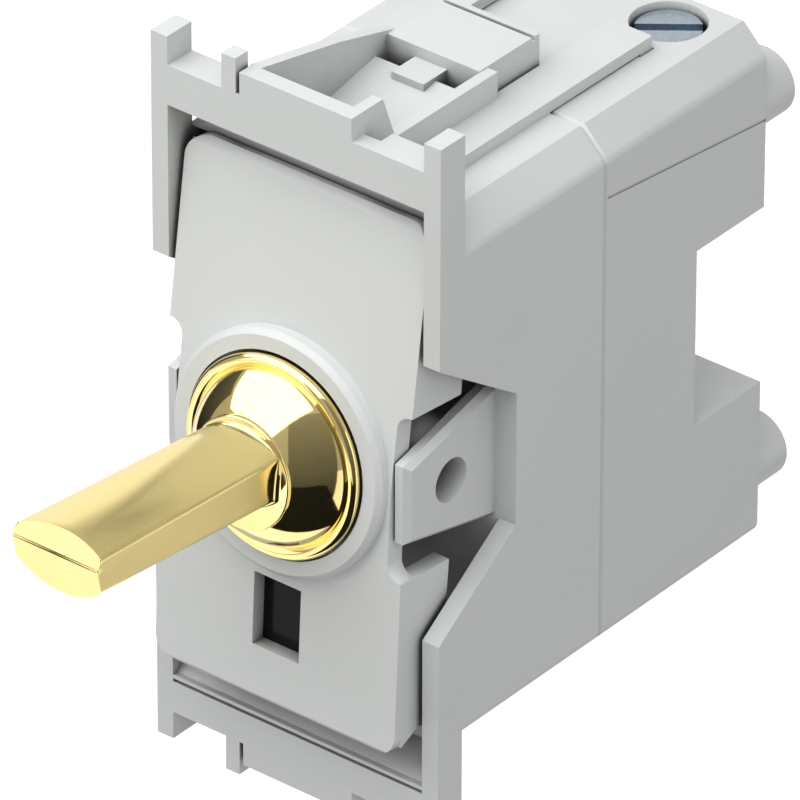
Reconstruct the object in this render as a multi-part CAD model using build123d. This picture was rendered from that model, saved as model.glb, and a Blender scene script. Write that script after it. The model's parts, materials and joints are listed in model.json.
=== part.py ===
from build123d import *
import os
from math import cos, radians, sin, tan

# Overall sizes, in millimetres: X to the right, Y into the wall, Z up
module_width = 22.5
body_height = 38.2
body_bevel = 1.9
body_round = 0.9
wall = 1.28
shell_wall = 1.3
seam_y = 16.13
seam_bevel = 0.2
partition = 1.6

# Front posts and rails, which clip into a support frame
post_depth = 2.34
rail_gap = 1.6
rail_thick = 1.2
rail_ledge_high = 2.8
rail_middle_high = 4.4
rail_middle_left = 4.3
rail_middle_right = 4.4
rail_ledge_in = 4.5
post_over = 0.4
foot_over = 0.85
foot_wide = 1.1
foot_gap = 0.3
sill_front = 0.4
sill_thick = 0.7
sill_lap = 0.4
sill_groove = 0.25

# Pockets, snap blocks and latch arms on the top and the bottom
pocket_half = 3.6
pocket_wall = 0.8
pocket_end = 13.3
pocket_low_high = 2.8
pocket_left_high = 4.4
pocket_left_end_high = 2.9
pocket_mouth = 1.8
pocket_slope = 1.2
ramp_rise = 1.8
ramp_end = 12.2
step_wide = 2.5
step_left = 1.4
step_long = 2.3
step_high = 2.1
snap_long = 5.9
snap_high = 2.9
snap_groove = 0.3
rib_in = 3.9
rib_wide = 3.15
rib_high = 0.9
arm_gap = 0.1
arm_over = 9.87
hook_long = 1.2
hook_deep = 0.6

# Windows in the side walls and the pivot lugs in them
window_depth = 7.5
window_rear_half = 4.75
window_flare = 0.687
baffle = 1.3
lug_thick = 1.0
lug_inset = 0.37
lug_front = 1.0
lug_front_half = 2.8
lug_rear_half = 5.0
lug_bevel = 0.4
pin_radius = 2.2
pin_long = 2.0
pin_core = 1.5
pin_core_floor = 1.2
pivot_y = 3.2

# Rocking key
tilt = 5.5
key_slope = 2.5
key_gap = 0.45
key_top_gap = 0.8
key_corner = 1.7
key_thick = 1.4
key_rise = 4.5
key_blend = 50.0
key_rim = 0.9
key_front_bevel = 0.45
key_rear_bevel = 1.0
notch_half = 5.7
notch_corner = 1.0
hub_gap = 0.15
hub_radius = 3.4
pin_play = 0.05
pin_end_play = 0.1
web_half = 2.2
skirt_thick = 1.2
skirt_back = 0.5
skirt_end = 2.7
skirt_bevel = 2.0
ring_radius = 8.2
ring_high = 0.75
ring_bevel = 0.35
seat_deep = 0.4
stem_half_wide = 2.3
stem_half_high = 2.1
stem_long = 9.2
stem_play = 0.4
stem_swing = 0.75

# Toggle lever and its fixing screw
dome_radius = 6.75
dome_play = 0.15
dome_high = 4.6
bead_round = 0.5
cap_inset = 0.8
cap_lift = 0.8
collar_radius = 3.75
collar_end = 2.7
collar_long = 1.6
lever_long = 26.15
lever_half_root = 2.85
lever_half_tip = 3.35
lever_crown = 2.75
lever_crease = 2.0
lever_foot = 0.25
lever_keel = 1.75
tip_upper = 0.65
tip_lower = 0.95
tip_ridge = 1.3
spigot_radius = 2.6
spigot_long = 2.0
spigot_play = 0.05
fix_shank = 1.2
fix_hole_play = 0.1
fix_thread_play = 0.05
fix_head = 2.15
fix_head_high = 1.6
fix_reach = 4.4
fix_well = 5.4
fix_head_play = 0.15

# Lamp window low on the key
lamp_rise = 6.5
lamp_half_wide = 1.85
lamp_half_high = 2.6
lamp_recess = 1.0
lamp_play = 0.04
lamp_lap = 0.55
lamp_flange = 0.8

# Plungers and springs in the stems
plunger_radius = 1.4
plunger_play = 0.05
plunger_start = 5.6
plunger_tip = 10.5
plunger_taper = 1.5
plunger_nose = 0.7
spring_wire = 0.2
spring_gap = 0.2
spring_turns = 3
spring_steps = 8
spring_sides = 5
well_start = 2.9
spring_end_gap = 0.05

# Contact blades and contacts
blade_half_wide = 2.2
blade_thick = 0.6
blade_play = 0.05
blade_down = 9.0
blade_up = 4.5
contact_radius = 1.3
contact_thick = 0.8
contact_gap = 0.05
contact_down = 7.5
tab_thick = 0.9
tab_over = 1.7

# Rear base
gap_half = 6.4
gap_y = 25.4
rear_y = 32.7
rear_bevel = 0.5
side_line_start = 14.4
side_line_end = 12.6
side_line_wide = 0.2
side_line_deep = 0.12
middle_wall = 1.3
rear_wall = 1.0
shelf = 1.3
shelf_set_back = 3.27
lip_long = 1.53
lip_thick = 1.0
lip_play = 0.07

# Wire entries and terminals
wire_edge = 2.45
pole_in = 2.935
wire_depth = 5.8
wire_radius = 1.15
boss_radius = 2.35
boss_long = 2.6
strip_thick = 1.2
strip_half = 2.6
strip_run_thick = 0.9
strip_run_gap = 0.3
strip_drop = 0.45
strip_head_half = 4.0
strip_head_long = 5.4
strip_end_gap = 0.3
nose_radius = 0.4
nose_gap = 0.07
clamp_lift = 0.65
clamp_thick = 1.2
clamp_half = 3.85
clamp_long = 4.5
screw_shank = 1.75
screw_strip_play = 0.05
screw_clamp_play = 0.1
screw_head = 2.15
screw_head_high = 2.4
screw_hole_play = 0.35
screw_slot_wide = 0.8
screw_slot_deep = 1.0
screw_slot_turn = 38.0
screw_set_in = 2.2
screw_reach = 1.2
screw_travel = 1.2
screw_tip_gap = 0.3
screw_well_play = 0.25

# Sizes that follow from the ones above
half_width = module_width / 2
body_half = body_height / 2
inner_half = half_width - wall
inner_high = body_half - shell_wall
divider = partition / 2
rail_z = body_half + rail_gap
ledge_z = rail_z + rail_ledge_high
middle_z = rail_z + rail_middle_high
frame_half = middle_z + post_over
baffle_back = window_depth + baffle
lug_out = inner_half - lug_inset
lug_in = lug_out - lug_thick
hub_half = lug_in - hub_gap
key_half_wide = inner_half - key_gap
key_half_high = body_half - key_top_gap
slope = tan(radians(key_slope))
lamp_down = key_half_high - lamp_rise
seat_y = -key_rise - ring_high + seat_deep
lever_well = spigot_long + seat_y
outer_wire_x = half_width - wire_edge
pole_x = outer_wire_x - pole_in
wire_z = body_half - wire_depth
strip_top = wire_z - wire_radius - strip_drop
strip_floor = strip_top - strip_thick
clamp_floor = wire_z + wire_radius + clamp_lift
clamp_top = clamp_floor + clamp_thick
chamber_end = rear_y - rear_wall
strip_end = chamber_end - strip_end_gap
screw_y = strip_end - screw_set_in
shelf_y = seam_y + shelf_set_back
middle_wall_y = gap_y - middle_wall
shelf_under = strip_floor - shelf
run_back = shelf_y - strip_run_gap
run_front = run_back - strip_run_thick
blade_back = pivot_y + plunger_tip + blade_play + blade_thick
nose_y = blade_back + nose_gap + nose_radius
arm_end = seam_y + arm_over


def block(x, y, z):
    """A box between low and high limits along X, Y and Z."""
    spans = (x, y, z)
    sizes = [high - low for low, high in spans]
    middle = [(high + low) / 2 for low, high in spans]
    return Pos(*middle) * Box(*sizes)


def side_prism(points, x):
    """A prism along X over an outline of (y, z) points."""
    outline = make_face(Polyline(*points, close=True))
    return extrude(Plane.YZ.offset(x[0]) * outline, amount=x[1] - x[0])


def depth_prism(outline, y):
    """A prism along Y over an outline drawn in X and Z."""
    return extrude(Plane.XZ.offset(-y[0]) * outline, amount=y[0] - y[1])


def rod_x(radius, x, y=0, z=0):
    """A round bar along X."""
    return Pos((x[0] + x[1]) / 2, y, z) * Rot(0, 90, 0) * Cylinder(radius, x[1] - x[0])


def rod_y(radius, y, x=0, z=0):
    """A round bar along Y."""
    return Pos(x, (y[0] + y[1]) / 2, z) * Rot(90, 0, 0) * Cylinder(radius, y[1] - y[0])


def rod_z(radius, z, x=0, y=0):
    """A round bar along Z."""
    return Pos(x, y, (z[0] + z[1]) / 2) * Cylinder(radius, z[1] - z[0])


def both_sides(shape):
    """The shape and its mirror image left of the middle."""
    return shape + mirror(shape, about=Plane.YZ)


def both_ends(shape):
    """The shape and its mirror image below the middle."""
    return shape + mirror(shape, about=Plane.XY)


def mirrored_points(points):
    """An outline of (y, z) points closed by its mirror image below the middle."""
    return points + [(y, -z) for y, z in reversed(points)]


def key_pose(shape):
    """A shape drawn about the key's pivot, set in the key's rest pose."""
    return Pos(0, pivot_y, 0) * Rot(-tilt, 0, 0) * shape


def blade_pose(shape):
    """A shape drawn about the blade's pivot, set in the blade's rest pose."""
    return Pos(0, blade_back, 0) * Rot(tilt, 0, 0) * shape


def blade_point(y, z):
    """A point of the blade's rest pose as (y, z)."""
    turned_y = y * cos(radians(tilt)) - z * sin(radians(tilt))
    turned_z = y * sin(radians(tilt)) + z * cos(radians(tilt))
    return (blade_back + turned_y, turned_z)


def key_front(z):
    """Depth of the key's front face at a height."""
    return -key_rise + slope * abs(z)


def body_outline():
    """Outline of the housing in X and Z, with bevelled corners rounded at the sides."""
    outline = chamfer(Rectangle(module_width, body_height).vertices(), body_bevel)
    columns = outline.vertices().group_by(Axis.X)
    return fillet(columns[0] + columns[-1], body_round)


def frame_rails():
    """Posts, rails and small feet round the key."""
    rails = both_sides(block((inner_half, half_width), (0, post_depth), (-frame_half, frame_half)))
    middle = block((-rail_middle_left, rail_middle_right), (0, rail_thick), (rail_z, middle_z))
    ledge = block((-inner_half, inner_half), (0, rail_thick), (rail_z, ledge_z))
    deep = both_sides(
        block((rail_ledge_in + rail_thick, inner_half), (0, post_depth), (rail_z, ledge_z))
    )
    foot_right = -rail_middle_left - foot_gap
    foot = block((foot_right - foot_wide, foot_right), (0, rail_thick), (rail_z, middle_z + foot_over))
    rails += both_ends(middle + ledge + deep + foot)
    groove = (-rail_z - 2 * sill_groove, -rail_z - sill_groove)
    return rails - block((-inner_half, inner_half), (0, sill_groove), groove)


def bottom_sill():
    """Sloping sill between the lower rail and the housing's lower wall."""
    lap_y = post_depth + sill_lap
    lap_z = sill_lap - body_half
    outline = [
        (sill_front, -rail_z),
        (lap_y, lap_z),
        (lap_y + sill_thick, lap_z),
        (sill_front + sill_thick, -rail_z - sill_lap),
    ]
    return side_prism(outline, (-inner_half, inner_half))


def top_pocket():
    """Pocket walls, ramp and step behind the rail on top of the housing."""
    root = body_half - shell_wall / 2
    walls_low = body_half + pocket_low_high
    lead = [(rail_thick, rail_z), (rail_thick, middle_z)]
    wall_end = pocket_end + pocket_wall
    foot = [(wall_end, root), (post_depth, root), (post_depth, rail_z)]
    left = lead + [
        (window_depth + rail_thick, body_half + pocket_left_high),
        (wall_end, body_half + pocket_left_end_high),
    ]
    right = lead + [
        (rail_thick + pocket_mouth, middle_z),
        (rail_thick + pocket_mouth + pocket_slope, walls_low),
        (wall_end, walls_low),
    ]
    pocket = side_prism(left + foot, (-pocket_half - pocket_wall, -pocket_half))
    pocket += side_prism(right + foot, (pocket_half, pocket_half + pocket_wall))
    ramp_start = post_depth + rail_thick / 2
    ramp = [(ramp_start, root), (ramp_start, body_half), (ramp_end, body_half + ramp_rise), (ramp_end, root)]
    pocket += side_prism(ramp, (-pocket_half, pocket_half))
    step = (-step_left, step_wide - step_left)
    pocket += block(step, (pocket_end - step_long, pocket_end), (root, body_half + step_high))
    return pocket


def top_snap():
    """Snap block and latch arms that reach back over the rear base."""
    root = body_half - shell_wall / 2
    over = body_half + arm_gap
    snap_end = pocket_end + snap_long
    snap_top = body_half + snap_high
    snap = block((-pocket_half, pocket_half), (pocket_end, snap_end), (over, snap_top))
    snap += block((-pocket_half, pocket_half), (pocket_end, seam_y - seam_bevel), (root, over))
    groove_y = snap_end - 2.5 * snap_groove
    groove = (groove_y, groove_y + snap_groove)
    snap -= block((-pocket_half, pocket_half), groove, (snap_top - snap_groove, snap_top))
    rib = (rib_in, rib_in + rib_wide)
    arm = block(rib, (post_depth, arm_end), (over, body_half + rib_high))
    arm += block(rib, (post_depth, seam_y - seam_bevel), (root, over))
    arm += block(rib, (arm_end - hook_long, arm_end), (body_half - hook_deep, over))
    return snap + both_sides(arm)


def pivot_lug():
    """Right-hand lug with its cored pivot pin."""
    root = window_depth + baffle / 2
    outline = mirrored_points([(-lug_front, lug_front_half), (root, lug_rear_half)])
    lug = side_prism(outline, (lug_in, lug_out))
    rim = lug.faces().sort_by(Axis.X)[-1].edges().sort_by(Axis.Y)[:-1]
    lug = chamfer(rim, lug_bevel)
    lug += rod_x(pin_radius, (lug_in - pin_long, lug_in + lug_thick / 2), pivot_y)
    core_floor = lug_in - pin_long + pin_core_floor
    return lug - rod_x(pin_core, (core_floor, lug_out + lug_thick), pivot_y)


def front_housing():
    """Front half of the housing, with everything moulded on it."""
    body = depth_prism(body_outline(), (post_depth, seam_y))
    body = chamfer(body.faces().sort_by(Axis.Y)[-1].edges(), seam_bevel)
    mouth = mirrored_points(
        [
            (0, inner_high + seat_deep),
            (post_depth, inner_high + seat_deep),
            (post_depth + shell_wall, inner_high),
            (window_depth, inner_high),
        ]
    )
    body -= side_prism(mouth, (-inner_half, inner_half))
    room = block((divider, inner_half), (baffle_back, seam_y + wall), (-inner_high, inner_high))
    opening_x = (pole_x - stem_half_wide - stem_play, pole_x + stem_half_wide + stem_play)
    opening_half = stem_half_high + stem_swing + stem_play
    room += block(opening_x, (window_depth - wall, baffle_back + wall), (-opening_half, opening_half))
    body -= both_sides(room)
    lip_inner = inner_high - 2 * lip_play - lip_thick
    slot_y = seam_y - lip_long - 2 * lip_play
    body -= both_ends(block((-divider, divider), (slot_y, seam_y), (lip_inner, inner_high)))
    window = mirrored_points(
        [
            (0, window_rear_half + window_flare * window_depth),
            (window_depth, window_rear_half),
        ]
    )
    housing = body + frame_rails() + bottom_sill() + both_ends(top_pocket() + top_snap())
    housing -= both_sides(side_prism(window, (inner_half, half_width)))
    return housing + both_sides(pivot_lug())


def terminal_cuts():
    """Chamber, screw holes and wire entries of the upper right terminal."""
    chamber = block((divider, inner_half), (seam_y, chamber_end), (strip_floor, inner_high))
    cuts = chamber + block((divider, inner_half), (seam_y, shelf_y), (0, strip_floor))
    cuts += block((divider, inner_half), (seam_y, middle_wall_y), (0, shelf_under))
    hole = screw_head + screw_hole_play
    cuts += rod_z(hole, (inner_high - wall, body_half + wall), pole_x, screw_y)
    well_floor = strip_floor - screw_reach - screw_travel - screw_tip_gap
    well = screw_shank + screw_well_play
    well_x = (pole_x - well, pole_x + well)
    cuts += block(well_x, (screw_y - well, screw_y + well), (well_floor, strip_floor + wall))
    cuts += rod_y(wire_radius, (chamber_end - wall, rear_y + boss_long), outer_wire_x, wire_z)
    pocket_y = (arm_end - hook_long - arm_gap, arm_end + arm_gap)
    pocket_x = (rib_in - arm_gap, rib_in + rib_wide + arm_gap)
    return cuts + block(pocket_x, pocket_y, (body_half - hook_deep - arm_gap, body_half + wall))


def rear_base():
    """Rear half of the housing with the two terminal blocks."""
    base = depth_prism(body_outline(), (seam_y, gap_y))
    base = chamfer(base.faces().sort_by(Axis.Y)[0].edges(), seam_bevel)
    block_high = body_half - gap_half
    outline = body_outline() & Pos(0, gap_half + block_high / 2) * Rectangle(module_width, block_high)
    terminals = depth_prism(outline, (gap_y - wall, rear_y))
    terminals = chamfer(terminals.faces().sort_by(Axis.Y)[-1].edges(), rear_bevel)
    boss_y = (rear_y - rear_wall, rear_y + boss_long)
    terminals += both_sides(rod_y(boss_radius, boss_y, outer_wire_x, wire_z))
    base += both_ends(terminals)
    base -= both_ends(both_sides(terminal_cuts()))
    line = [
        (seam_y + seam_bevel, side_line_start),
        (rear_y - rear_bevel, side_line_end),
        (rear_y - rear_bevel, side_line_end + side_line_wide),
        (seam_y + seam_bevel, side_line_start + side_line_wide),
    ]
    base -= both_sides(side_prism(line, (half_width - side_line_deep, half_width)))
    lip_x = inner_half - lip_play
    lip_z = inner_high - lip_play
    lip_y = (seam_y - lip_long, seam_y + lip_play)
    lip = block((-lip_x, lip_x), lip_y, (-lip_z, lip_z))
    inner_x = lip_x - lip_thick
    inner_z = lip_z - lip_thick
    lip -= block((-inner_x, inner_x), lip_y, (-inner_z, inner_z))
    return base + lip


def key_plate():
    """Convex front plate of the key with its side notches."""
    rim_y = key_front(key_half_high)
    front_z = key_half_high - key_front_bevel
    rear_z = key_half_high - key_rear_bevel
    blend = key_blend * sin(radians(key_slope))
    crest = key_blend / cos(radians(key_slope)) - key_blend - key_rise
    upper = [
        (key_front(blend), blend),
        (key_front(front_z), front_z),
        (rim_y + key_front_bevel, key_half_high),
        (rim_y + key_rim, key_half_high),
        (key_front(rear_z) + key_thick, rear_z),
        (key_thick - key_rise, 0),
    ]
    lower = [(y, -z) for y, z in reversed(upper[:-1])]
    profile = Polyline(*upper, *lower) + ThreePointArc(lower[-1], (crest, 0), upper[0])
    side = Plane.YZ.offset(-key_half_wide) * make_face(profile)
    plate = extrude(side, amount=2 * key_half_wide)
    outline = RectangleRounded(2 * key_half_wide, 2 * key_half_high, key_corner)
    notch = RectangleRounded(2 * (key_half_wide - hub_half), 2 * notch_half, notch_corner)
    outline -= Pos(key_half_wide, 0) * notch
    outline -= Pos(-key_half_wide, 0) * notch
    return plate & depth_prism(outline, (-2 * key_rise, key_rise))


def key_skirts():
    """Side walls behind the plate, above and below the pivot lugs."""
    root = key_thick / 2
    end = key_half_high - skirt_end
    skirt = [
        (key_front(notch_half) + root, notch_half),
        (skirt_back, notch_half),
        (skirt_back, end),
        (key_front(end + skirt_bevel) + root, end + skirt_bevel),
    ]
    return both_ends(both_sides(side_prism(skirt, (key_half_wide - skirt_thick, key_half_wide))))


def lamp_frame(shape):
    """A shape drawn on the key's lower face, moved to the lamp window."""
    return Pos(0, -key_rise, 0) * Rot(key_slope, 0, 0) * Pos(0, 0, -lamp_down) * shape


def rocker_key():
    """Key with its hub, stems and the seat of the lever."""
    key = key_plate() + key_skirts()
    key += rod_x(hub_radius, (-hub_half, hub_half))
    key += block((-hub_half, hub_half), (key_thick / 2 - key_rise, 0), (-web_half, web_half))
    stem_x = (pole_x - stem_half_wide, pole_x + stem_half_wide)
    key += both_sides(block(stem_x, (0, stem_long), (-stem_half_high, stem_half_high)))
    ring_front = -key_rise - ring_high
    ring = rod_y(ring_radius, (ring_front, key_thick - key_rise))
    key += chamfer(ring.edges().sort_by(Axis.Y)[0], ring_bevel)
    key -= rod_y(dome_radius + dome_play, (ring_front - seat_deep, seat_y))
    key -= rod_y(spigot_radius + spigot_play, (seat_y - seat_deep, lever_well))
    key -= rod_y(fix_shank + fix_hole_play, (lever_well - seat_deep, hub_radius))
    key -= rod_y(fix_head + fix_head_play, (hub_radius - fix_head_high - fix_head_play, 2 * hub_radius))
    bearing = hub_half - pin_long - pin_end_play + hub_gap
    well = plunger_radius + plunger_play
    key -= both_sides(rod_x(pin_radius + pin_play, (bearing, hub_half + hub_gap)))
    key -= both_sides(rod_y(well, (well_start, stem_long + stem_play), pole_x))
    opening = block(
        (-lamp_half_wide, lamp_half_wide),
        (-key_thick, 2 * key_thick),
        (-lamp_half_high, lamp_half_high),
    )
    return key - lamp_frame(opening)


def lamp_lens():
    """Lens behind the lamp window, with a flange against the plate's rear."""
    plug_wide = lamp_half_wide - lamp_play
    plug_high = lamp_half_high - lamp_play
    rear = key_thick * cos(radians(key_slope))
    lens = block((-plug_wide, plug_wide), (lamp_recess, rear), (-plug_high, plug_high))
    wide = lamp_half_wide + lamp_lap
    high = lamp_half_high + lamp_lap
    lens += block((-wide, wide), (rear, rear + lamp_flange), (-high, high))
    return lamp_frame(lens)


def lever_dome():
    """Dome with its rim bead and the lever's tapered collar, turned about the lever's axis."""
    cap_x = dome_radius - cap_inset
    cap_y = seat_y - cap_lift
    rise = dome_high - cap_lift
    ball = (cap_x**2 + rise**2) / (2 * rise)
    middle_y = seat_y - dome_high + ball
    half_x = (cap_x + collar_radius) / 2
    half_y = middle_y - (ball**2 - half_x**2) ** 0.5
    collar_y = middle_y - (ball**2 - collar_radius**2) ** 0.5
    end_y = collar_y - collar_long
    bead = []
    for angle in (0, 30, 60, 90):
        out = dome_radius - bead_round + bead_round * cos(radians(angle))
        bead.append((out, seat_y - bead_round - bead_round * sin(radians(angle))))
    collar = [(collar_radius, collar_y), (collar_end, end_y), (0, end_y), (0, seat_y)]
    outline = Polyline(*collar, (dome_radius, seat_y), *bead, (cap_x, cap_y))
    outline += ThreePointArc((cap_x, cap_y), (half_x, half_y), (collar_radius, collar_y))
    return revolve(make_face(outline), Axis.Y)


def lever_bar():
    """Lever with arched faces, flanks that flare towards the end, and a chisel-like tip."""
    wide = lever_half_tip
    section = ThreePointArc((-wide, lever_crease), (0, lever_crown), (wide, lever_crease))
    section += Line((wide, lever_crease), (wide, -lever_foot))
    section += ThreePointArc((wide, -lever_foot), (0, -lever_keel), (-wide, -lever_foot))
    section += Line((-wide, -lever_foot), (-wide, lever_crease))
    root_y = seat_y - dome_high / 4
    bar = depth_prism(make_face(section), (-lever_long, root_y))
    tip = [
        (root_y, lever_crown),
        (tip_upper - lever_long, lever_crown),
        (-lever_long, tip_ridge),
        (tip_lower - lever_long, -lever_keel),
        (root_y, -lever_keel),
    ]
    bar &= side_prism(tip, (-wide, wide))
    plan = Polyline(
        (-lever_half_root, root_y),
        (lever_half_root, root_y),
        (wide, -lever_long),
        (-wide, -lever_long),
        close=True,
    )
    flanks = extrude(Plane.XY.offset(-lever_keel) * make_face(plan), amount=lever_keel + lever_crown)
    return bar & flanks


def toggle_lever():
    """Lever, dome and spigot, one casting."""
    lever = lever_dome() + lever_bar()
    lever += rod_y(spigot_radius, (seat_y - bead_round, lever_well))
    return lever - rod_y(fix_shank + fix_thread_play, (lever_well - fix_well, lever_well))


def lever_fixing_screw():
    """Screw that draws the lever into the key from behind."""
    head = hub_radius - fix_head_high - fix_head_play
    screw = rod_y(fix_head, (head, head + fix_head_high))
    screw += rod_y(fix_shank, (lever_well - fix_reach, head))
    slot = fix_shank / 3
    return screw - block((-slot, slot), (head + slot * 2, head + fix_head_high), (-fix_head, fix_head))


def plunger():
    """Right-hand plunger with its tapered nose."""
    bar = rod_y(plunger_radius, (plunger_start, plunger_tip), pole_x)
    nose = bar.edges().sort_by(Axis.Y)[-1]
    return chamfer(nose, plunger_taper, plunger_radius - plunger_nose)


def plunger_spring():
    """Right-hand coil spring between the stem's floor and the plunger."""
    coil = plunger_radius + plunger_play - spring_gap - spring_wire
    start = well_start + spring_end_gap + spring_wire
    high = plunger_start - spring_end_gap - spring_wire - start
    steps = spring_turns * spring_steps
    points = []
    for i in range(steps + 1):
        turn = radians(360 * i / spring_steps)
        points.append((coil * cos(turn), coil * sin(turn), high * i / steps))
    path = Polyline(*points)
    wire = Plane(path @ 0, z_dir=path % 0) * RegularPolygon(spring_wire, spring_sides)
    spring = sweep(wire, path=path, transition=Transition.RIGHT)
    return Pos(pole_x, start, 0) * Rot(-90, 0, 0) * spring


def contact_blade():
    """Right-hand rocking blade."""
    blade_x = (pole_x - blade_half_wide, pole_x + blade_half_wide)
    return block(blade_x, (-blade_thick, 0), (-blade_down, blade_up))


def contact_button(start):
    """Right-hand contact, its front at a depth behind the blade."""
    return rod_y(contact_radius, (start, start + contact_thick), pole_x, -contact_down)


def strip_head():
    """Wide end of the upper right strip, under the clamp plate."""
    head_x = (pole_x - strip_head_half, pole_x + strip_head_half)
    return block(head_x, (strip_end - strip_head_long, strip_end), (strip_floor, strip_top))


def strip_hole():
    """Hole of the upper right strip for its terminal screw."""
    radius = screw_shank + screw_strip_play
    return rod_z(radius, (strip_floor - wall, strip_top + wall), pole_x, screw_y)


def upper_terminal_strip():
    """Right-hand strip from the upper terminal to the blade's pivot nose."""
    outline = [
        (strip_end, strip_top),
        (run_front, strip_top),
        (run_front, nose_radius),
        (nose_y, nose_radius),
        (nose_y, -nose_radius),
        (run_back, -nose_radius),
        (run_back, strip_floor),
        (strip_end, strip_floor),
    ]
    strip_x = (pole_x - strip_half, pole_x + strip_half)
    strip = side_prism(outline, strip_x) + rod_x(nose_radius, strip_x, nose_y)
    return strip + strip_head() - strip_hole()


def lower_terminal_strip():
    """Right-hand strip from the lower terminal to the fixed contact's tab."""
    front = 2 * contact_thick + contact_gap
    back = front + tab_thick
    top = contact_down - tab_over
    run_cos = cos(radians(tilt))
    run_sin = sin(radians(tilt))
    reach_front = (strip_top + front * run_sin) / run_cos
    reach_back = (strip_floor + back * run_sin) / run_cos
    outline = [
        blade_point(front, -top),
        blade_point(front, -reach_front),
        (strip_end, -strip_top),
        (strip_end, -strip_floor),
        blade_point(back, -reach_back),
        blade_point(back, -top),
    ]
    strip = side_prism(outline, (pole_x - strip_half, pole_x + strip_half))
    return strip + mirror(strip_head(), about=Plane.XY) - mirror(strip_hole(), about=Plane.XY)


def clamp_plate():
    """Upper right clamp plate."""
    plate_x = (pole_x - clamp_half, pole_x + clamp_half)
    plate = block(plate_x, (strip_end - clamp_long, strip_end), (clamp_floor, clamp_top))
    hole = screw_shank + screw_clamp_play
    return plate - rod_z(hole, (clamp_floor, clamp_top), pole_x, screw_y)


def terminal_screw():
    """Upper right terminal screw with its slotted head."""
    top = clamp_top + screw_head_high
    screw = rod_z(screw_head, (clamp_top, top))
    screw += rod_z(screw_shank, (strip_floor - screw_reach, clamp_top))
    slot_x = (-screw_head, screw_head)
    slot_y = (-screw_slot_wide / 2, screw_slot_wide / 2)
    screw -= block(slot_x, slot_y, (top - screw_slot_deep, top))
    return Pos(pole_x, screw_y, 0) * Rot(0, 0, screw_slot_turn) * screw


def left(shape):
    """The same piece on the left."""
    return Pos(-2 * pole_x, 0, 0) * shape


def pole_pieces(name, shape):
    """A piece of the right-hand pole and its copy on the left."""
    return {name + "_right": shape, name + "_left": left(shape)}


def terminal_pieces(name, shape):
    """A piece of the upper right terminal and its copies at the other three."""
    below = mirror(shape, about=Plane.XY)
    pieces = pole_pieces(name + "_upper", shape)
    pieces.update(pole_pieces(name + "_lower", below))
    return pieces


nodes = {
    "front_housing": front_housing(),
    "rear_base": rear_base(),
    "rocker_key": key_pose(rocker_key()),
    "toggle_lever": key_pose(toggle_lever()),
    "lever_fixing_screw": key_pose(lever_fixing_screw()),
    "lamp_lens": key_pose(lamp_lens()),
}
nodes.update(pole_pieces("plunger", key_pose(plunger())))
nodes.update(pole_pieces("plunger_spring", key_pose(plunger_spring())))
nodes.update(pole_pieces("contact_blade", blade_pose(contact_blade())))
nodes.update(pole_pieces("moving_contact", blade_pose(contact_button(0))))
fixed_start = contact_thick + contact_gap
nodes.update(pole_pieces("fixed_contact", blade_pose(contact_button(fixed_start))))
nodes.update(pole_pieces("upper_terminal_strip", upper_terminal_strip()))
nodes.update(pole_pieces("lower_terminal_strip", lower_terminal_strip()))
nodes.update(terminal_pieces("clamp_plate", clamp_plate()))
nodes.update(terminal_pieces("terminal_screw", terminal_screw()))

os.makedirs("parts", exist_ok=True)
for name, shape in nodes.items():
    export_step(shape, f"parts/{name}.step")
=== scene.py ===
import json
import math

import bmesh
import bpy
from mathutils import Matrix, Vector


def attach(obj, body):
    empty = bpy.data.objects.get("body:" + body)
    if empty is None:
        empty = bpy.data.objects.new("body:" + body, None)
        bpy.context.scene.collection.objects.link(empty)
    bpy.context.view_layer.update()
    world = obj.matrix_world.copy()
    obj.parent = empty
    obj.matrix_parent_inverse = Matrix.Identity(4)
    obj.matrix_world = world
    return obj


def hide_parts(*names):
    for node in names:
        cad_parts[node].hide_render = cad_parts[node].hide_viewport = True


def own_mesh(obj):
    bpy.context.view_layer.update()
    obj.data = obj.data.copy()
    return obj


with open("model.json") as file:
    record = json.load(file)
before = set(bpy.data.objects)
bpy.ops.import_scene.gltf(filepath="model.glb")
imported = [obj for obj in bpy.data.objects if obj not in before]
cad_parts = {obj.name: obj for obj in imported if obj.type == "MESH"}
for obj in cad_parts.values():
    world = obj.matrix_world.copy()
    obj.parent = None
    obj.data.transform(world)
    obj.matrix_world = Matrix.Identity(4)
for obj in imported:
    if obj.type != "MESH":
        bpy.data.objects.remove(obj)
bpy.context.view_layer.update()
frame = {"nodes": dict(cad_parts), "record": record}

MM = 0.001
nodes = frame["nodes"]

# Sizes shared with the solids, in millimetres and degrees
PIVOT_Y = 3.2
TILT = 5.5
SEAT_Y = -4.85
DOME_RADIUS = 6.75
DOME_HIGH = 4.6
BEAD_ROUND = 0.5
CAP_INSET = 0.8
CAP_LIFT = 0.8
COLLAR_RADIUS = 3.75
LEVER_LONG = 26.15
LEVER_HALF_ROOT = 2.85
LEVER_HALF_TIP = 3.35
LEVER_CROWN = 2.75
LEVER_CREASE = 2.0
LEVER_FOOT = 0.25
LEVER_KEEL = 1.75
TIP_UPPER = 0.65
TIP_LOWER = 0.95
TIP_RIDGE = 1.3
SPIGOT_RADIUS = 2.6
SPIGOT_LONG = 2.0
SPRING_X = 5.865
SPRING_WIRE = 0.2
SPRING_TURNS = 3

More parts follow.
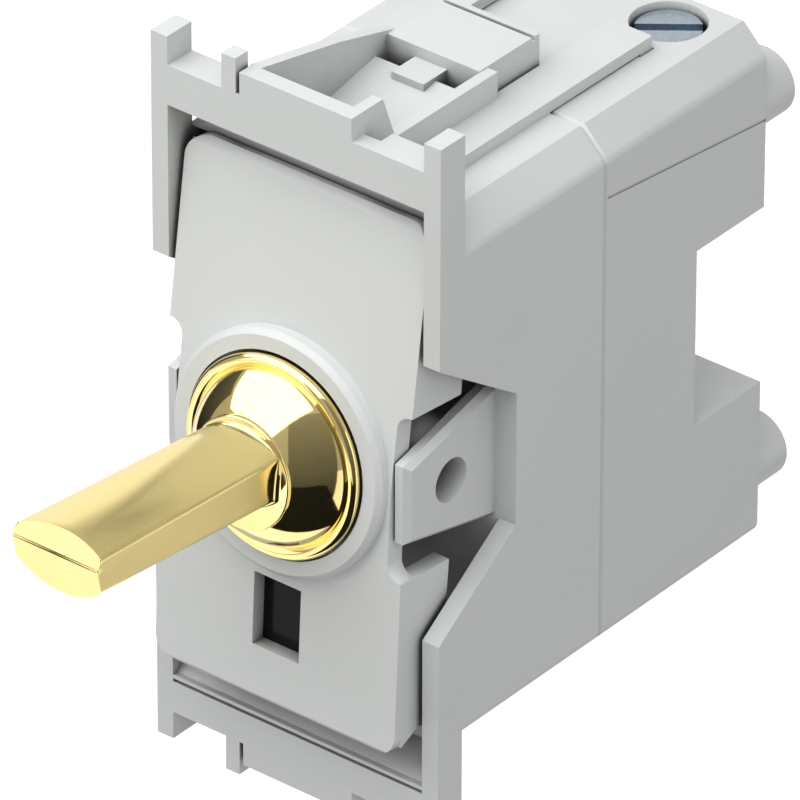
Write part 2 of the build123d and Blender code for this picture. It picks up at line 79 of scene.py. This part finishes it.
# Sizes of the finer forms, in millimetres and degrees
EDGE_RADIUS = 0.14
EDGE_STEPS = 2
EDGE_ANGLE = 35
FLAT_ANGLE = 0.5
SHARP_ANGLE = 40
WELD_REACH = 0.001
FACE_WEIGHT = 100
LEVER_EDGE = 0.35
TIP_EDGE = 0.2
ROOT_RISE = 0.4
ROOT_LONG = 7.0
COLLAR_EDGE = 0.12
COLLAR_EDGE_START = -60
COLLAR_LIP = 0.3
COLLAR_SLOPE = 0.15
COLLAR_FACE_LEAST = 0.02
COLLAR_FILLET = 0.35
COLLAR_FILLET_SHARE = 0.7
SPRING_COIL = 1.05
SPRING_START = 3.15
SPRING_LONG = 2.2

# Steps that the finer forms are drawn in
CREASE_STEPS = 6
CROWN_STEPS = 48
KEEL_STEPS = 72
UPPER_FLANK_STEPS = 4
LOWER_FLANK_STEPS = 12
BAR_STEPS = 24
TIP_EDGE_STEPS = 4
FILLET_STEPS = 6
COLLAR_EDGE_STEPS = 5
DOME_STEPS = 24
BEAD_STEPS = 10
COIL_STEPS = 32
WIRE_SIDES = 12

# Looks, with noise scales in features per metre and lengths in millimetres
NOISE_SPAN = (0.3, 0.7)
PLASTIC_IOR = 1.49
CLOUD_SCALE = 90
CLOUD_SHADES = (0.965, 1.03)
SATIN_SCALE = 700
GRAIN_SCALE = 9000
GRAIN_HIGH = 0.02
# Painted shade in gaps, from an ambient-occlusion node: its samples and the darkest share of the colour
GAP_SAMPLES = 6
PAINTED_SHADE_DARKEST = 0.06
MARK_SHADES = (0.9, 1.06)
MARK_HIGH = 0.01
GILT_SCALE = 500
GILT_STRETCH = (1, 0.2, 1)
GILT_RELIEF = 0.03
GILT_POLISH = (0.05, 0.08)
GILT_SATIN = (0.22, 0.28)
GILT_WEAR_START = -5.6
GILT_WEAR_END = -8.5
HAZE_SCALE = 400
HAZE_DARK = (0.004, 0.004, 0.005)
HAZE_LIGHT = (0.012, 0.012, 0.014)
HAZE_ROUGH = (0.12, 0.2)
LENS_GLOSS = 0.08

# Studio, in metres
WHITE = (1, 1, 1, 1)
FLOOR_Z = -0.5
FLOOR_REACH = 6.0
FLOOR_PARTS = 4
FLOOR_GLOW = 0.65
FLOOR_ROUGH = 0.9
PAPER_SCALE = 20
PAPER_DARK = (0.86, 0.86, 0.86)
PAPER_LIGHT = (0.9, 0.9, 0.9)
FELT_SCALE = 30
FELT_DARK = (0.01, 0.01, 0.01)
FELT_LIGHT = (0.02, 0.02, 0.02)
ROOM_LOW = 0.42
ROOM_HIGH = 0.56

# Reflection cards: place, width and height, and glow at the bottom and the top
CARDS = {
    "side_card": ((0.28, -0.2, 0.08), (0.34, 0.8), (0.0, 0.3)),
    "low_card": ((0.13, -0.17, -0.24), (0.4, 0.4), (0.0, 0.0)),
    "root_card": ((-0.1, -0.28, -0.19), (0.24, 0.2), (1.2, 1.8)),
    "tip_card": ((-0.19, -0.28, 0.105), (0.22, 0.22), (1.4, 1.7)),
    "rear_card": ((-0.25, 0.3, 0.07), (0.3, 0.26), (1.0, 1.25)),
    "flank_card": ((0.21, 0.27, -0.21), (0.24, 0.2), (0.55, 0.7)),
    "left_card": ((-0.35, 0.02, 0.0), (0.16, 0.3), (0.0, 0.1)),
    "bead_card": ((0.5, 0.1, 0.0), (0.3, 0.6), (1.1, 1.5)),
}

# Camera, in degrees and millimetres, but its clipping in metres
AZIMUTH = 38.79
ELEVATION = 32.19
ROLL = 0.14
DISTANCE = 736.7
SHIFT_ACROSS = 6.38
SHIFT_ABOVE = 2.97
LENS = 542.66
SENSOR = 36.0
CLIP_START = 0.01
CLIP_END = 50.0

CAP_RISE = DOME_HIGH - CAP_LIFT
BALL = ((DOME_RADIUS - CAP_INSET) ** 2 + CAP_RISE**2) / (2 * CAP_RISE)
BALL_Y = SEAT_Y - DOME_HIGH + BALL
COLLAR_Y = BALL_Y - math.sqrt(BALL**2 - COLLAR_RADIUS**2)
KEY_POSE = Matrix.Translation((0, PIVOT_Y * MM, 0)) @ Matrix.Rotation(math.radians(-TILT), 4, "X")


# Materials

def new_material(name):
    """A node material with its tree and main shader."""
    material = bpy.data.materials.new(name)
    material.use_nodes = True
    tree = material.node_tree
    return material, tree, tree.nodes["Principled BSDF"]


def coordinate(tree, space, axis):
    """One coordinate of the shaded point."""
    coords = tree.nodes.new("ShaderNodeTexCoord")
    split = tree.nodes.new("ShaderNodeSeparateXYZ")
    tree.links.new(coords.outputs[space], split.inputs["Vector"])
    return split.outputs[axis]


def noise(tree, scale, detail, stretch=(1, 1, 1)):
    """Noise over the piece's own coordinates."""
    coords = tree.nodes.new("ShaderNodeTexCoord")
    mapping = tree.nodes.new("ShaderNodeMapping")
    mapping.inputs["Scale"].default_value = stretch
    texture = tree.nodes.new("ShaderNodeTexNoise")
    texture.inputs["Scale"].default_value = scale
    texture.inputs["Detail"].default_value = detail
    tree.links.new(coords.outputs["Object"], mapping.inputs["Vector"])
    tree.links.new(mapping.outputs["Vector"], texture.inputs["Vector"])
    return texture.outputs["Fac"]


def map_range(tree, value, source, target):
    """A value carried from one range to another and held within it."""
    span = tree.nodes.new("ShaderNodeMapRange")
    for end, number in zip(("From Min", "From Max", "To Min", "To Max"), (*source, *target)):
        span.inputs[end].default_value = number
    tree.links.new(value, span.inputs["Value"])
    return span.outputs["Result"]


def spread(tree, value, low, high):
    """Noise spread over a range."""
    return map_range(tree, value, NOISE_SPAN, (low, high))


def mix_colour(tree, factor, dark, light):
    """Two colours mixed by a factor."""
    mix = tree.nodes.new("ShaderNodeMix")
    mix.data_type = "RGBA"
    mix.inputs["A"].default_value = (*dark, 1)
    mix.inputs["B"].default_value = (*light, 1)
    tree.links.new(factor, mix.inputs["Factor"])
    return mix.outputs["Result"]


def shades(colour, low, high):
    """A darker and a lighter shade of a colour."""
    return [c * low for c in colour], [min(1.0, c * high) for c in colour]


def bump(tree, shader, height, distance, strength):
    """Relief from a height, over a distance in millimetres."""
    relief = tree.nodes.new("ShaderNodeBump")
    relief.inputs["Distance"].default_value = distance * MM
    relief.inputs["Strength"].default_value = strength
    tree.links.new(height, relief.inputs["Height"])
    tree.links.new(relief.outputs["Normal"], shader.inputs["Normal"])


def with_painted_gap_shade(tree, colour, reach, open_share):
    """A colour with painted shade in gaps: ambient occlusion darkens it by the share of open space within
    a reach in millimetres.
    """
    depth = tree.nodes.new("ShaderNodeAmbientOcclusion")
    depth.samples = GAP_SAMPLES
    depth.inputs["Distance"].default_value = reach * MM
    mix = tree.nodes.new("ShaderNodeMix")
    mix.data_type = "RGBA"
    mix.inputs["A"].default_value = (0, 0, 0, 1)
    tree.links.new(map_range(tree, depth.outputs["AO"], open_share, (PAINTED_SHADE_DARKEST, 1)), mix.inputs["Factor"])
    tree.links.new(colour, mix.inputs["B"])
    return mix.outputs["Result"]


def moulded_plastic(name, colour, rough=(0.42, 0.54), grain=0.35, reach=10, open_share=(0.14, 0.46)):
    """Satin moulded plastic with a fine eroded grain, slight cloudiness and painted shade darkening its
    gaps.
    """
    material, tree, shader = new_material(name)
    cloud = mix_colour(tree, noise(tree, CLOUD_SCALE, 3), *shades(colour, *CLOUD_SHADES))
    # Painted shade: the base colour is darkened in gaps and recesses by ambient occlusion
    tree.links.new(with_painted_gap_shade(tree, cloud, reach, open_share), shader.inputs["Base Color"])
    tree.links.new(spread(tree, noise(tree, SATIN_SCALE, 5), *rough), shader.inputs["Roughness"])
    shader.inputs["IOR"].default_value = PLASTIC_IOR
    bump(tree, shader, noise(tree, GRAIN_SCALE, 2), GRAIN_HIGH, grain)
    return material


def marked_metal(name, colour, scale, stretch, relief):
    """Metal with fine marks along its working direction, its roughness still to be set."""
    material, tree, shader = new_material(name)
    marks = noise(tree, scale, 6, stretch)
    tree.links.new(mix_colour(tree, marks, *shades(colour, *MARK_SHADES)), shader.inputs["Base Color"])
    shader.inputs["Metallic"].default_value = 1.0
    bump(tree, shader, marks, MARK_HIGH, relief)
    return material, tree, shader, marks


def plated_metal(name, colour, rough, scale, stretch=(1, 1, 1), relief=0.1):
    """Bare or plated metal with the same finish all over."""
    material, tree, shader, marks = marked_metal(name, colour, scale, stretch, relief)
    tree.links.new(spread(tree, marks, *rough), shader.inputs["Roughness"])
    return material


def gilt_plating(name, colour):
    """Gold plating, polished on the dome and satin along the bar."""
    material, tree, shader, marks = marked_metal(name, colour, GILT_SCALE, GILT_STRETCH, GILT_RELIEF)
    wear = (GILT_WEAR_START * MM, GILT_WEAR_END * MM)
    rough = tree.nodes.new("ShaderNodeMix")
    tree.links.new(map_range(tree, coordinate(tree, "Object", "Y"), wear, (0, 1)), rough.inputs["Factor"])
    tree.links.new(spread(tree, marks, *GILT_POLISH), rough.inputs["A"])
    tree.links.new(spread(tree, marks, *GILT_SATIN), rough.inputs["B"])
    tree.links.new(rough.outputs["Result"], shader.inputs["Roughness"])
    return material


def smoked_lens(name):
    """Dark smoked plastic with a clear gloss."""
    material, tree, shader = new_material(name)
    haze = noise(tree, HAZE_SCALE, 3)
    tree.links.new(mix_colour(tree, haze, HAZE_DARK, HAZE_LIGHT), shader.inputs["Base Color"])
    tree.links.new(spread(tree, haze, *HAZE_ROUGH), shader.inputs["Roughness"])
    shader.inputs["IOR"].default_value = PLASTIC_IOR
    shader.inputs["Specular IOR Level"].default_value = LENS_GLOSS
    return material


finishes = {
    "housing_grey": moulded_plastic("housing_plastic", (0.60, 0.62, 0.61)),
    "base_grey": moulded_plastic("base_plastic", (0.59, 0.61, 0.60)),
    # The key's painted shade in gaps reaches less far than that of the other plastics
    "key_grey": moulded_plastic(
        "key_plastic", (0.63, 0.65, 0.64), rough=(0.34, 0.46), grain=0.2, reach=8, open_share=(0.16, 0.42),
    ),
    "gold_plate": gilt_plating("gold_plating", (0.94, 0.76, 0.33)),
    "lamp_dark": smoked_lens("lamp_smoke"),
    "zinc_steel": plated_metal("zinc_plating", (0.56, 0.64, 0.73), (0.22, 0.36), 2500, (1, 1, 0.2)),
    "spring_steel": plated_metal("spring_wire", (0.42, 0.42, 0.43), (0.25, 0.4), 3000),
    "plunger_nylon": moulded_plastic("plunger_nylon", (0.78, 0.76, 0.70)),
    "blade_copper": plated_metal("blade_copper", (0.78, 0.42, 0.26), (0.22, 0.38), 1500, (1, 1, 0.1)),
    "contact_silver": plated_metal("contact_silver", (0.82, 0.81, 0.79), (0.2, 0.35), 2000),
    "strip_brass": plated_metal("strip_brass", (0.78, 0.60, 0.28), (0.2, 0.36), 1500, (0.1, 1, 1)),
    "clamp_steel": plated_metal("clamp_zinc", (0.52, 0.55, 0.58), (0.25, 0.4), 1800, (0.1, 1, 1)),
}


# Finishes of the solids and rounded edges of the mouldings

def even_normals(obj, keep_sharp):
    """Shading that keeps large faces flat between their rounded edges."""
    normals = obj.modifiers.new("even_normals", "WEIGHTED_NORMAL")
    normals.keep_sharp = keep_sharp
    normals.weight = FACE_WEIGHT


def round_edges(obj):
    """Small rounded edges on a solid, with its flat faces kept flat."""
    weld = obj.modifiers.new("weld", "WELD")
    weld.merge_threshold = WELD_REACH * MM
    flat = obj.modifiers.new("flat_faces", "DECIMATE")
    flat.decimate_type = "DISSOLVE"
    flat.angle_limit = math.radians(FLAT_ANGLE)
    bevel = obj.modifiers.new("edge_radius", "BEVEL")
    bevel.width = EDGE_RADIUS * MM
    bevel.segments = EDGE_STEPS
    bevel.limit_method = "ANGLE"
    bevel.angle_limit = math.radians(EDGE_ANGLE)
    bevel.use_clamp_overlap = True
    bevel.harden_normals = False
    even_normals(obj, False)


slot_of = {s["node"]: s["material_slot"] for s in frame["record"]["subparts"]}
for name, obj in nodes.items():
    obj.data.materials.clear()
    obj.data.materials.append(finishes[slot_of[name]])

for name in ("front_housing", "rear_base", "rocker_key"):
    round_edges(nodes[name])


# Objects from built forms

def linked(build, name):
    """A built form as a named object in the scene."""
    mesh = bpy.data.meshes.new(name)
    build.to_mesh(mesh)
    build.free()
    obj = bpy.data.objects.new(name, mesh)
    bpy.context.scene.collection.objects.link(obj)
    return obj


def key_piece(build, name, slot):
    """A form drawn in the key's own millimetres, put in the key's place with a slot's finish."""
    bmesh.ops.recalc_face_normals(build, faces=build.faces)
    bmesh.ops.transform(build, matrix=KEY_POSE @ Matrix.Scale(MM, 4), verts=build.verts)
    obj = linked(build, name)
    obj.data.materials.append(finishes[slot])
    for face in obj.data.polygons:
        face.use_smooth = True
    obj.data.set_sharp_from_angle(angle=math.radians(SHARP_ANGLE))
    return obj


# Toggle lever

def arc(centre, radius, start, end, steps):
    """Points of an arc, angles in degrees."""
    turns = [math.radians(start + (end - start) * i / steps) for i in range(steps + 1)]
    return [(centre[0] + radius * math.cos(t), centre[1] + radius * math.sin(t)) for t in turns]


def arch_radius(peak, edge):
    """Radius of one of the lever's arched faces, from its heights in the middle and at the flanks."""
    rise = peak - edge
    return (LEVER_HALF_TIP**2 + rise**2) / (2 * rise)


def arch_fall(peak, edge, x):
    """How far one of the lever's arched faces lies below its peak at a distance from the middle."""
    radius = arch_radius(peak, edge)
    return radius - math.sqrt(radius**2 - x**2)


def arched_face(peak, edge, steps):
    """One arched face at the tip, from the right flank to the left, with rounded creases."""
    radius = arch_radius(peak, edge)
    middle = peak - radius
    x = LEVER_HALF_TIP - LEVER_EDGE
    z = middle + math.sqrt((radius - LEVER_EDGE) ** 2 - x**2)
    turn = math.degrees(math.atan2(z - middle, x))
    face = arc((x, z), LEVER_EDGE, 0, turn, CREASE_STEPS)
    face += arc((0, middle), radius, turn, 180 - turn, steps)[1:]
    return face + arc((-x, z), LEVER_EDGE, 180 - turn, 180, CREASE_STEPS)[1:]


def flank(x, start, end, steps):
    """Points between two heights of a flank, both left out."""
    return [(x, start + (end - start) * i / steps) for i in range(1, steps)]


def lever_section():
    """The lever's section at its tip from the right end of the ridge, and the ridge's left end in it."""
    top = arched_face(LEVER_CROWN, LEVER_CREASE, CROWN_STEPS)
    bottom = [(-x, -z) for x, z in arched_face(LEVER_KEEL, LEVER_FOOT, KEEL_STEPS)]
    right = LEVER_HALF_TIP
    upper = [(right, TIP_RIDGE)] + flank(right, TIP_RIDGE, top[0][1], UPPER_FLANK_STEPS) + top
    upper += flank(-right, top[-1][1], TIP_RIDGE, UPPER_FLANK_STEPS)
    lower = [(-right, TIP_RIDGE)] + flank(-right, TIP_RIDGE, bottom[0][1], LOWER_FLANK_STEPS) + bottom
    lower += flank(right, bottom[-1][1], TIP_RIDGE, LOWER_FLANK_STEPS)
    return upper + lower, len(upper)


def tip_y(z):
    """Where the lever ends at a height, on one of the two tip facets."""
    if z >= TIP_RIDGE:
        return TIP_UPPER * (z - TIP_RIDGE) / (LEVER_CROWN - TIP_RIDGE) - LEVER_LONG
    return TIP_LOWER * (TIP_RIDGE - z) / (TIP_RIDGE + LEVER_KEEL) - LEVER_LONG


def bar_point(x, z, y):
    """A point of the tip's section moved along the lever to a depth, as its flanks draw in."""
    root_y = SEAT_Y - DOME_HIGH / 4
    wide = LEVER_HALF_ROOT + (LEVER_HALF_TIP - LEVER_HALF_ROOT) * (root_y - y) / (root_y + LEVER_LONG)
    near = x * wide / LEVER_HALF_TIP
    part = min(1, max(0, (z + LEVER_FOOT) / (LEVER_CREASE + LEVER_FOOT)))
    above = arch_fall(LEVER_CROWN, LEVER_CREASE, x) - arch_fall(LEVER_CROWN, LEVER_CREASE, near)
    below = arch_fall(LEVER_KEEL, LEVER_FOOT, x) - arch_fall(LEVER_KEEL, LEVER_FOOT, near)
    swell = max(0, 1 - (COLLAR_Y - y) / ROOT_LONG) ** 2 * ROOT_RISE * (1 - (x / LEVER_HALF_TIP) ** 2)
    return (near, y, z + part * (above + swell) - (1 - part) * below)


def dome_profile():
    """Radius and depth of the dome, the bead and the spigot, outwards from the lever's collar."""
    start = math.degrees(math.asin(COLLAR_RADIUS / BALL)) - 90
    end = math.degrees(math.asin((DOME_RADIUS - CAP_INSET) / BALL)) - 90
    profile = arc((0, BALL_Y), BALL, start, end, DOME_STEPS)
    profile += arc((DOME_RADIUS - BEAD_ROUND, SEAT_Y - BEAD_ROUND), BEAD_ROUND, -90, 0, BEAD_STEPS)
    profile += [(DOME_RADIUS, SEAT_Y), (SPIGOT_RADIUS, SEAT_Y), (SPIGOT_RADIUS, SEAT_Y + SPIGOT_LONG)]
    return profile


def collar_profile(reach):
    """Radius and depth of the collar, from the lever's side at a reach out to the dome."""
    rim = COLLAR_RADIUS - COLLAR_EDGE
    front = COLLAR_Y - COLLAR_LIP
    inner = front - COLLAR_SLOPE * (rim - reach)
    fillet = min(COLLAR_FILLET, COLLAR_FILLET_SHARE * max(rim - reach, COLLAR_FACE_LEAST))
    points = []
    for i in range(FILLET_STEPS + 1):
        part = i / FILLET_STEPS
        out = fillet * part * part
        points.append((reach + out, inner - fillet * (1 - part) ** 2 + COLLAR_SLOPE * out))
    points.append((rim, front))
    return points + arc((rim, front + COLLAR_EDGE), COLLAR_EDGE, COLLAR_EDGE_START, 0, COLLAR_EDGE_STEPS)


def lever_strip(x, z, profile):
    """Points from the tip along the lever, over its collar and the dome, to the spigot."""
    near = bar_point(x, z, COLLAR_Y - COLLAR_LIP)
    collar = collar_profile(math.hypot(near[0], near[2]))
    start = tip_y(z)
    end = collar[0][1]
    strip = [bar_point(x, z, start + (end - start) * i / BAR_STEPS) for i in range(BAR_STEPS + 1)]
    side = strip[-1]
    reach = math.hypot(side[0], side[2])
    for radius, y in collar[1:] + profile:
        strip.append((side[0] * radius / reach, y, side[2] * radius / reach))
    return strip


def gilt_lever():
    """The lever, its collar and the dome as one fine form."""
    build = bmesh.new()
    section, left = lever_section()
    profile = dome_profile()
    strips = [[build.verts.new(p) for p in lever_strip(x, z, profile)] for x, z in section]
    for a, b in zip(strips, strips[1:] + strips[:1]):
        for i in range(len(a) - 1):
            build.faces.new((a[i], b[i], b[i + 1], a[i + 1]))
    tip = [strip[0] for strip in strips]
    build.faces.new(tip[: left + 1])
    build.faces.new(tip[left:] + tip[:1])
    build.faces.new([strip[-1] for strip in strips])
    rim = [build.edges.get(pair) for pair in zip(tip, tip[1:] + tip[:1])]
    ridge = build.edges.get((tip[0], tip[left]))
    bmesh.ops.bevel(
        build, geom=rim + [ridge], offset=TIP_EDGE, offset_type="OFFSET", segments=TIP_EDGE_STEPS,
        profile=0.5, affect="EDGES", clamp_overlap=True,
    )
    obj = key_piece(build, "gilt_lever", "gold_plate")
    even_normals(obj, True)
    return obj


lever = gilt_lever()
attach(lever, "rocker")
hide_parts("toggle_lever")


# Plunger springs

def coil_spring(name, x):
    """A round-wire coil at a distance from the middle, in the key's place."""
    build = bmesh.new()
    pitch = SPRING_LONG / (2 * math.pi * SPRING_TURNS)
    corners = [2 * math.pi * k / WIRE_SIDES for k in range(WIRE_SIDES)]
    round_wire = [(math.cos(t), math.sin(t)) for t in corners]
    rings = []
    for i in range(SPRING_TURNS * COIL_STEPS + 1):
        turn = 2 * math.pi * i / COIL_STEPS
        out = Vector((math.cos(turn), 0, -math.sin(turn)))
        along = Vector((-SPRING_COIL * math.sin(turn), pitch, -SPRING_COIL * math.cos(turn))).normalized()
        side = out.cross(along)
        middle = Vector((x, SPRING_START + pitch * turn, 0)) + SPRING_COIL * out
        rings.append([build.verts.new(middle + SPRING_WIRE * (c * out + d * side)) for c, d in round_wire])
    for a, b in zip(rings, rings[1:]):
        for k in range(WIRE_SIDES):
            build.faces.new((a[k], a[k - 1], b[k - 1], b[k]))
    build.faces.new(rings[0])
    build.faces.new(rings[-1])
    return key_piece(build, name, "spring_steel")


for side, x in (("left", -SPRING_X), ("right", SPRING_X)):
    spring = coil_spring(f"coil_spring_{side}", x)
    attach(spring, "rocker")
    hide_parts(f"plunger_spring_{side}")
    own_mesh(spring)


# Studio

def area_light(name, place, aim, size, power, turn=0, mirrored=True):
    """A soft box light at a place, turned to a point and about its own axis in degrees."""
    data = bpy.data.lights.new(name, "AREA")
    data.shape = "RECTANGLE"
    data.size, data.size_y = size
    data.energy = power
    obj = bpy.data.objects.new(name, data)
    facing = (Vector(aim) - Vector(place)).to_track_quat("-Z", "Y").to_matrix().to_4x4()
    obj.matrix_world = Matrix.Translation(place) @ facing @ Matrix.Rotation(math.radians(turn), 4, "Z")
    obj.visible_camera = False
    obj.visible_glossy = mirrored
    bpy.context.scene.collection.objects.link(obj)


def pale_floor():
    """A wide pale floor below the switch, lit from within and throwing no light up."""
    build = bmesh.new()
    bmesh.ops.create_grid(build, x_segments=FLOOR_PARTS, y_segments=FLOOR_PARTS, size=FLOOR_REACH)
    floor = linked(build, "floor")
    floor.location.z = FLOOR_Z
    material, tree, shader = new_material("floor_white")
    paper = mix_colour(tree, noise(tree, PAPER_SCALE, 2), PAPER_DARK, PAPER_LIGHT)
    tree.links.new(paper, shader.inputs["Base Color"])
    shader.inputs["Roughness"].default_value = FLOOR_ROUGH
    shader.inputs["Emission Color"].default_value = WHITE
    shader.inputs["Emission Strength"].default_value = FLOOR_GLOW
    floor.data.materials.append(material)
    floor.visible_diffuse = False


def mirror_card(name, place, size, glow):
    """A card turned to the switch that only shows in reflections, with a glow from bottom to top."""
    wide, high = size[0] / 2, size[1] / 2
    build = bmesh.new()
    corners = [(x * wide, y * high, 0) for x, y in ((-1, -1), (1, -1), (1, 1), (-1, 1))]
    build.faces.new([build.verts.new(c) for c in corners])
    card = linked(build, name)
    facing = (-Vector(place)).to_track_quat("Z", "Y").to_matrix().to_4x4()
    card.matrix_world = Matrix.Translation(place) @ facing
    material, tree, shader = new_material(name)
    felt = mix_colour(tree, noise(tree, FELT_SCALE, 2), FELT_DARK, FELT_LIGHT)
    tree.links.new(felt, shader.inputs["Base Color"])
    shader.inputs["Roughness"].default_value = 1.0
    shader.inputs["Specular IOR Level"].default_value = 0.0
    shader.inputs["Emission Color"].default_value = WHITE
    rise = map_range(tree, coordinate(tree, "Object", "Y"), (-high, high), glow)
    tree.links.new(rise, shader.inputs["Emission Strength"])
    card.data.materials.append(material)
    card.visible_camera = False
    card.visible_diffuse = False
    card.visible_shadow = False


def studio_world():
    """A pale room, brighter overhead."""
    world = bpy.data.worlds.new("studio")
    bpy.context.scene.world = world
    world.use_nodes = True
    tree = world.node_tree
    ramp = tree.nodes.new("ShaderNodeValToRGB")
    for stop, shade in zip(ramp.color_ramp.elements, (ROOM_LOW, ROOM_HIGH)):
        stop.color = (shade, shade, shade, 1)
    tree.links.new(coordinate(tree, "Generated", "Z"), ramp.inputs["Fac"])
    tree.links.new(ramp.outputs["Color"], tree.nodes["Background"].inputs["Color"])


pale_floor()
studio_world()
area_light("key_box", (-0.2, -0.13, 0.23), aim=(-0.2, -0.13, 0), size=(0.55, 0.34), power=1.35, turn=-14)
area_light("fill_box", (0.25, -0.16, 0.3), aim=(0, 0, 0), size=(0.4, 0.4), power=0.6, mirrored=False)
for name, (place, size, glow) in CARDS.items():
    mirror_card(name, place, size, glow)


# Camera at the photograph's angle

def photo_camera():
    """A camera placed by its angles, with its aim offset across the view."""
    turn, lift, bank = (math.radians(v) for v in (AZIMUTH, ELEVATION, ROLL))
    right = Vector((math.cos(turn), math.sin(turn), 0))
    up = Vector((-math.sin(turn) * math.sin(lift), math.cos(turn) * math.sin(lift), math.cos(lift)))
    back = Vector((math.sin(turn) * math.cos(lift), -math.cos(turn) * math.cos(lift), math.sin(lift)))
    across = math.cos(bank) * right + math.sin(bank) * up
    above = math.cos(bank) * up - math.sin(bank) * right
    data = bpy.data.cameras.new("camera")
    data.lens = LENS
    data.sensor_width = SENSOR
    data.clip_start = CLIP_START
    data.clip_end = CLIP_END
    camera = bpy.data.objects.new("camera", data)
    place = (across * SHIFT_ACROSS + above * SHIFT_ABOVE + back * DISTANCE) * MM
    axes = Matrix((across, above, back)).transposed().to_4x4()
    camera.matrix_world = Matrix.Translation(place) @ axes
    bpy.context.scene.collection.objects.link(camera)
    bpy.context.scene.camera = camera


photo_camera()
bpy.context.scene.view_settings.view_transform = "Standard"
